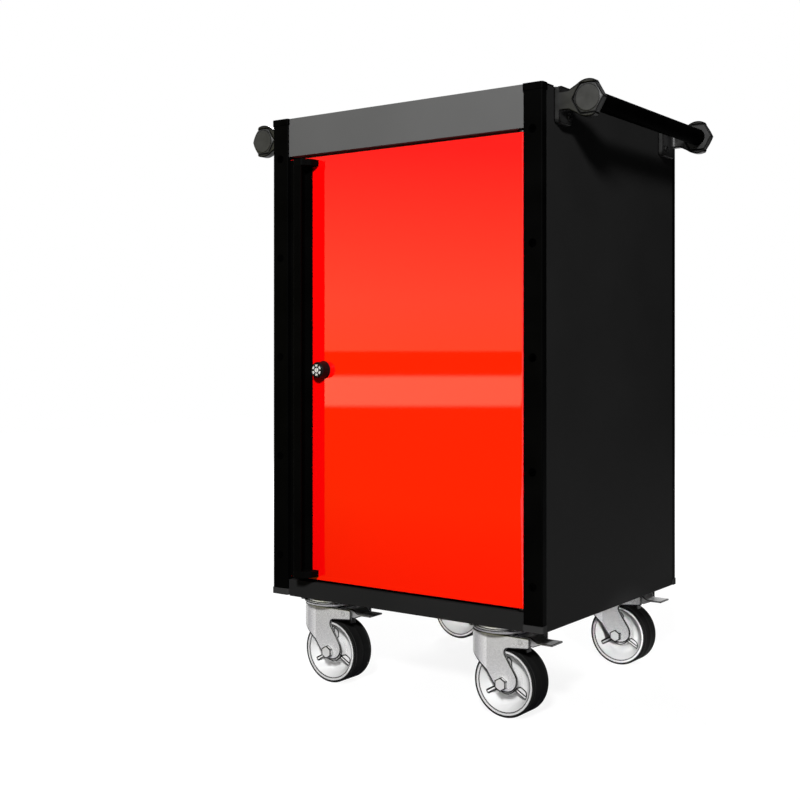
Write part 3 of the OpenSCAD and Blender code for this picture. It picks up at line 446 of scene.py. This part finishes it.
# Lock face: black moulded insert in the knob, with a bright key cylinder and six bright grip pads.
# The cylinder is turned and slotted for the key; the pads are plated and pressed into the moulding.
def spun_ring():
    """Tree for copies turned round an axis along +Y through the middle."""
    tree, keys, given, line, place = copy_tree("spun_ring", [("Middle", "NodeSocketVector")])
    tree.links.new(given.outputs["Middle"], line.inputs["Start Location"])
    line.inputs["Offset"].default_value = (0, 0, 0)
    part = tree.nodes.new("ShaderNodeMath")
    part.operation = "DIVIDE"
    part.inputs[0].default_value = 2 * math.pi
    tree.links.new(given.outputs["Count"], part.inputs[1])
    angle = tree.nodes.new("ShaderNodeMath")
    angle.operation = "MULTIPLY"
    tree.links.new(tree.nodes.new("GeometryNodeInputIndex").outputs["Index"], angle.inputs[0])
    tree.links.new(part.outputs["Value"], angle.inputs[1])
    turn = tree.nodes.new("FunctionNodeAxisAngleToRotation")
    turn.inputs["Axis"].default_value = (0, 1, 0)
    tree.links.new(angle.outputs["Value"], turn.inputs["Angle"])
    tree.links.new(turn.outputs["Rotation"], place.inputs["Rotation"])
    return tree, keys


def sector_pad(name, inner, outer, half_angle, front, back, bevel):
    """Curved pad round an axis along +Y, with its front edges eased."""
    half_cuts, corner = 6, 1.0
    arc = [half_angle * (i / half_cuts - 1) for i in range(2 * half_cuts + 1)]
    shape = bmesh.new()
    rows = []
    for depth in (front, back):
        rows.append([[shape.verts.new((r * math.sin(a), depth, r * math.cos(a))) for a in arc]
                     for r in (inner, outer)])
    (fi, fo), (bi, bo) = rows
    for one, other in ((fi, fo), (fo, bo), (bo, bi), (bi, fi)):
        for i in range(len(arc) - 1):
            shape.faces.new((one[i], one[i + 1], other[i + 1], other[i]))
    for i in (0, -1):
        shape.faces.new((fi[i], fo[i], bo[i], bi[i]))
    bmesh.ops.recalc_face_normals(shape, faces=shape.faces)
    rim = [e for e in shape.edges if all(abs(v.co.y - front) < 1e-6 for v in e.verts)
           and len(e.link_faces) == 2 and e.calc_face_angle() > corner]
    bmesh.ops.bevel(shape, geom=rim, offset=bevel, segments=2, affect="EDGES")
    mesh = bpy.data.meshes.new(name)
    shape.to_mesh(mesh)
    shape.free()
    return finished(name, mesh)


def slotted(name, piece, size, middle):
    """The piece with a straight slot cut into it, as a plain mesh."""
    cutter = bpy.data.meshes.new("cutter")
    shape = bmesh.new()
    bmesh.ops.create_cube(shape, size=1.0, matrix=Matrix.Translation(middle) @ Matrix.Diagonal((*size, 1)))
    shape.to_mesh(cutter)
    shape.free()
    tool = bpy.data.objects.new("cutter", cutter)
    bpy.context.collection.objects.link(tool)
    milling = piece.modifiers.new("slot", "BOOLEAN")
    milling.object = tool
    milling.solver = "EXACT"
    mesh = bpy.data.meshes.new_from_object(piece.evaluated_get(bpy.context.evaluated_depsgraph_get()))
    for spent in (tool, piece):
        bpy.data.objects.remove(spent)
    return finished(name, mesh)


lock_low, lock_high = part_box("lock_plug")
lock_mid = Vector(((lock_low[0] + lock_high[0]) / 2, lock_low[1], (lock_low[2] + lock_high[2]) / 2))
lock_r = (lock_high[0] - lock_low[0]) / 2
lock_deep = lock_high[1] - lock_low[1]
bright = steel("lock_bright_chrome", 205, 0.3, 0.1, 0.0003)
lock_face = turned("lock_face", [
    (0, lock_deep), (lock_r - 0.0001, lock_deep), (lock_r - 0.0001, 0.0008), (lock_r - 0.0004, 0.0003),
    (lock_r - 0.0010, 0.0002), (lock_r - 0.0013, 0.0005), (lock_r - 0.0014, 0.0011), (0.0060, 0.0011),
    (0.0058, 0.0007), (0.0054, 0.0005), (0.0051, 0.0007), (0.0050, 0.0015), (0, 0.0015)], lock_mid)
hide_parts("lock_plug")
seat(lock_face, "lock", lock_black)
key_cylinder = slotted("key_cylinder", turned("blank", [
    (0, 0.0030), (0.0048, 0.0030), (0.0048, 0.0006), (0.0045, 0.0003), (0, 0.0003)], lock_mid, 48),
    (0.0011, 0.004, 0.0062), lock_mid)
seat(key_cylinder, "lock", bright)
pad = sector_pad("pad", 0.0066, 0.0112, math.radians(19), 0.0004, 0.0024, 0.0002)
ring_tree, ring_keys = spun_ring()
grip_pads = joined("grip_pads", [
    copied(ring_tree, ring_keys, Piece=pad, Count=6, Middle=lock_mid, Finish=bright)])
bpy.data.objects.remove(pad)
seat(grip_pads, "lock", bright)


# Side handles: cast brackets shaped like open-ended spanners, each holding a hexagon nut.
# The castings are tumbled and dipped dark grey, and the tube between the nuts is coated black.
def casting(name, level, rough, metal):
    """Dark tinted metal casting, with painted shade darkening its edges."""
    material, tree, shader, where = start_finish(name, rough, 0.15, metal)
    cloud = grain(tree, where, 0.02, 4.0)
    skin = grain(tree, where, 0.0011, 2.0)
    normal, edge = rounded_edges(tree, 0.005, 0.985, 14)
    body = mingle(tree, spread(tree, cloud, 0, 1), grey(level - 4), grey(level + 4))
    # Painted shade: the edges are painted near black.
    tree.links.new(mingle(tree, edge, body, grey(4)), shader.inputs["Base Color"])
    tree.links.new(spread(tree, cloud, rough - 0.04, rough + 0.06), shader.inputs["Roughness"])
    relief(tree, shader, skin, 0.00004, normal)
    return material


dress(casting("bracket_dark_grey", 54, 0.42, 0.7), "handle_brackets_left", "handle_brackets_right")
dress(casting("nut_dark_grey", 58, 0.42, 0.25), "handle_nuts")
dress(powder_coat("bar_satin_black", 2, 0.6, 0.001), "grip_bar_left", "grip_bar_right")


# Castors: pressed and zinc-plated forks under a riveted bearing dish, bolted to the floor channels.
# The wheel centres are cast aluminium, machined on the rim, with a hard black tread.
CASTORS = ("front_left", "front_right", "rear_left", "rear_right")
dress(steel("dish_zinc_plated", 219, 0.25, 0.4, 0.0036), "castor_plates")
trail = 0.0165  # from the wheel's axle forward to the swivel's axis
crest = 0.0165  # from there on to the crest of the fork's bend
for side in ("left", "right"):
    swivel_x = sum(v[0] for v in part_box(f"wheel_core_front_{side}")) / 2 - trail
    # Each fork gets a painted highlight band up to the crest of its bend.
    fork_zinc = steel(f"fork_zinc_plated_{side}", 213, 0.25, 0.4, 0.0048, bend=swivel_x - crest)
    dress(fork_zinc, f"fork_front_{side}", f"fork_rear_{side}")
dress(steel("axle_zinc_plated", 206, 0.32, 0.3, 0.0046), *[f"fork_bolts_{c}" for c in CASTORS])
dress(steel("bolt_zinc_plated", 176, 0.42, 0.2, 0.0036), "castor_bolts")
shoe_top = 0.1326  # height of the shoe's upper face; below it the pedal is painted black as shade
pedal_zinc = steel("pedal_zinc_plated", 184, 0.3, 0.4, 0.0036, shoe_top)
dress(pedal_zinc, *[f"brake_pedal_{c}" for c in CASTORS])
wheel_cast = steel("wheel_cast_aluminium", 204, 0.45, 0.0, 0.0038, shine=0.1)
dress(wheel_cast, *[f"wheel_core_{c}" for c in CASTORS])


# Treads: hard black rubber moulded onto the wheel centres, running smooth.
# The mould leaves a shoulder groove near each face and a thin parting line in the middle.
tread_rubber = rubber("tread_black_rubber", 17, 0.0015, 0.00004, 44)
# Each point: how far it lies below the running face, and how far in from the flank; the parting line's depth
# counts from the middle.
shoulder = [(0.00295, 0), (0.0018, 0), (0.0006, 0.0006), (0, 0.0018)]
groove = [(0, 0.0052), (0.0007, 0.0054), (0.0007, 0.0062), (0, 0.0064)]
parting = [(0.0001, -0.0004), (0, -0.0002)]
for castor in CASTORS:
    low, high = [Vector(v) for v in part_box(f"tyre_{castor}")]
    middle = (low + high) / 2
    half = (high.y - low.y) / 2
    outer = (high.z - low.z) / 2
    flank = [(outer - sunk, -half + inward) for sunk, inward in shoulder + groove]
    flank += [(outer - sunk, depth) for sunk, depth in parting]
    profile = flank + [(radius, -depth) for radius, depth in reversed(flank)]
    tread = turned(f"tread_{castor}", profile, middle, 128, ring=True)
    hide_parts(f"tyre_{castor}")
    seat(tread, f"wheel_{castor}", tread_rubber)


# Studio: pale seamless floor and white surroundings, a small key lamp high on the right, a soft lamp behind,
# and a narrow spot on each castor. A graduated card and dim cloths lie in the mirror paths of door and
# castors, a black flag in the right side's.
def seen_white(tree):
    """1 for the rays that show the background: from the camera, off gloss and through glass."""
    path = tree.nodes.new("ShaderNodeLightPath")
    seen = path.outputs["Is Camera Ray"]
    for ray in ("Is Glossy Ray", "Is Transmission Ray"):
        both = tree.nodes.new("ShaderNodeMath")
        both.operation = "MAXIMUM"
        tree.links.new(seen, both.inputs[0])
        tree.links.new(path.outputs[ray], both.inputs[1])
        seen = both.outputs["Value"]
    return seen


def stage_sheet(name, corners):
    """Flat sheet of the studio with a fresh material."""
    mesh = bpy.data.meshes.new(name)
    mesh.from_pydata(corners, [], [range(len(corners))])
    sheet = bpy.data.objects.new(name, mesh)
    bpy.context.collection.objects.link(sheet)
    material = bpy.data.materials.new(name)
    material.use_nodes = True
    mesh.materials.append(material)
    return sheet, material.node_tree


def seamless_floor(reach, near, far):
    """Floor that looks white, with less of its own glow where the locker's shadow falls."""
    shaded_to, clear_from = 0.9, 2.4
    corners = [(-reach, -reach, 0), (reach, -reach, 0), (reach, reach, 0), (-reach, reach, 0)]
    _, tree = stage_sheet("floor", corners)
    shader = tree.nodes["Principled BSDF"]
    shader.inputs["Base Color"].default_value = (0.15, 0.15, 0.15, 1)
    shader.inputs["Roughness"].default_value = 0.9
    shader.inputs["Specular IOR Level"].default_value = 0.0
    shader.inputs["Emission Color"].default_value = (1, 1, 1, 1)
    away = tree.nodes.new("ShaderNodeVectorMath")
    away.operation = "LENGTH"
    tree.links.new(tree.nodes.new("ShaderNodeTexCoord").outputs["Object"], away.inputs[0])
    glow = tree.nodes.new("ShaderNodeMath")
    glow.operation = "MULTIPLY"
    tree.links.new(spread(tree, away.outputs["Value"], near, far, shaded_to, clear_from), glow.inputs[0])
    tree.links.new(seen_white(tree), glow.inputs[1])
    tree.links.new(glow.outputs["Value"], shader.inputs["Emission Strength"])


def white_surroundings(fill):
    """White to the eye and in reflections, and a low even light on everything else."""
    world = bpy.data.worlds.new("studio")
    bpy.context.scene.world = world
    world.use_nodes = True
    tree = world.node_tree
    back = tree.nodes["Background"]
    back.inputs["Color"].default_value = (1, 1, 1, 1)
    tree.links.new(spread(tree, seen_white(tree), fill, 1.0, 0, 1), back.inputs["Strength"])


def in_reflections(name, corners):
    """Sheet of the studio that shows only in reflections, matt black until it is given a glow."""
    sheet, tree = stage_sheet(name, corners)
    sheet.visible_camera = sheet.visible_diffuse = sheet.visible_shadow = sheet.visible_transmission = False
    shader = tree.nodes["Principled BSDF"]
    shader.inputs["Base Color"].default_value = (0, 0, 0, 1)
    shader.inputs["Specular IOR Level"].default_value = 0.0
    return tree, shader


def upright(middle, facing, width, height):
    """Corners of an upright sheet on the floor."""
    side = Vector((-facing[1], facing[0], 0)).normalized() * (width / 2)
    foot = Vector((middle[0], middle[1], 0))
    lift = Vector((0, 0, height))
    return [foot - side, foot + side, foot + side + lift, foot - side + lift]


def graduated_card(name, middle, facing, width, height, bands):
    """Upright card with a glow in bands, each a height, a strength and how much blue it lacks."""
    tree, shader = in_reflections(name, upright(middle, facing, width, height))
    up = tree.nodes.new("ShaderNodeSeparateXYZ")
    tree.links.new(tree.nodes.new("ShaderNodeTexCoord").outputs["Object"], up.inputs["Vector"])
    ramp = tree.nodes.new("ShaderNodeValToRGB")
    strongest = max(strength for _, strength, _ in bands)
    steps = ramp.color_ramp.elements
    while len(steps) < len(bands):
        steps.new(0.5)
    for step, (z, strength, warmth) in zip(steps, bands):
        step.position = z / height
        share = strength / strongest
        step.color = (share, share, share * (1 - warmth), 1)
    tree.links.new(spread(tree, up.outputs["Z"], 0, 1, 0, height), ramp.inputs["Fac"])
    tree.links.new(ramp.outputs["Color"], shader.inputs["Emission Color"])
    shader.inputs["Emission Strength"].default_value = strongest


def lamp(name, place, aim, size, power, beam=math.pi):
    """Square area lamp; beam is the angle that its grid lets through."""
    data = bpy.data.lights.new(name, "AREA")
    data.energy = power
    data.size = size
    data.spread = beam
    light = bpy.data.objects.new(name, data)
    bpy.context.collection.objects.link(light)
    light.location = place
    light.rotation_euler = (Vector(aim) - Vector(place)).to_track_quat("-Z", "Y").to_euler()
    light.visible_camera = False


seamless_floor(7.0, 0.9, 1.0)
white_surroundings(0.035)
lamp("key", (1.82, -3.65, 2.58), (0, 0, 0.65), 0.5, 250)
lamp("back", (-2.6, 3.4, 2.6), (0, 0, 0.6), 1.6, 230)
spot_size = 0.03
for name, place, aim, power, degrees in (
        ("spot_front_left", (1.5, -1.9, 0.35), (-0.213, -0.24, 0.042), 0.0075, 3.2),
        ("spot_front_right", (1.5, -1.9, 0.35), (0.188, -0.24, 0.042), 0.006, 3.2),
        ("spot_rear_right", (0.95, -0.65, 0.35), (0.192, 0.222, 0.045), 0.084, 12),
        ("spot_rear_left", (0.25, -1.2, 0.03), (-0.2, 0.22, 0.06), 0.09, 9)):
    lamp(name, place, aim, spot_size, power, math.radians(degrees))
graduated_card("graduated_card", (-1.761, -2.690), (0.587, 0.809), 6.0, 2.4, [
    (0.0, 0.42, 1), (0.420, 0.42, 1), (0.424, 2.57, 0.47), (0.552, 2.57, 0.47), (0.554, 0.42, 1),
    (0.657, 0.42, 1), (0.659, 1.42, 0.65), (0.88, 1.38, 0.55), (1.54, 0.38, 0.23), (2.4, 0.36, 0.23)])
in_reflections("black_flag", upright((2.2, 2.6), (-0.587, -0.809), 6.0, 5.0))
cloth_lift = 0.004
near_y, far_y = -1.1, -2.6
for name, tint, near, far, outline in (
        ("amber_cloth", (1, 1, 0, 1), 0.24, 0.42, [
            (0.8, -1.06), (-1.9, -1.06), (-2.65, -2.04), (-0.87, -3.34)]),
        ("grey_cloth", (1, 0.95, 1.2, 1), 0.25, 0.25, [
            (0.35, 0.2), (0.0, 0.2), (-0.2, -0.28), (-1.6, -0.28), (-1.9, -1.055), (0.8, -1.055)])):
    cloth_tree, cloth = in_reflections(name, [(x, y, cloth_lift) for x, y in outline])
    away = cloth_tree.nodes.new("ShaderNodeSeparateXYZ")
    cloth_tree.links.new(cloth_tree.nodes.new("ShaderNodeTexCoord").outputs["Object"], away.inputs["Vector"])
    glow = spread(cloth_tree, away.outputs["Y"], near, far, near_y, far_y)
    cloth_tree.links.new(glow, cloth.inputs["Emission Strength"])
    cloth.inputs["Emission Color"].default_value = tint


# Camera: level, at the height of the door's upper half, turned to the locker's front right corner.
picture, focal, horizon = 800, 1217.72, 352.02  # pixels
sensor = 36.0
camera = bpy.data.objects.new("camera", bpy.data.cameras.new("camera"))
bpy.context.collection.objects.link(camera)
camera.location = (1.35173, -2.12526, 0.65756)
camera.rotation_euler = (math.radians(90), 0, math.radians(35.96))
camera.data.sensor_width = sensor
camera.data.lens = focal / picture * sensor
camera.data.shift_y = -(picture / 2 - horizon) / picture
bpy.context.scene.camera = camera
bpy.context.scene.view_settings.view_transform = "Standard"
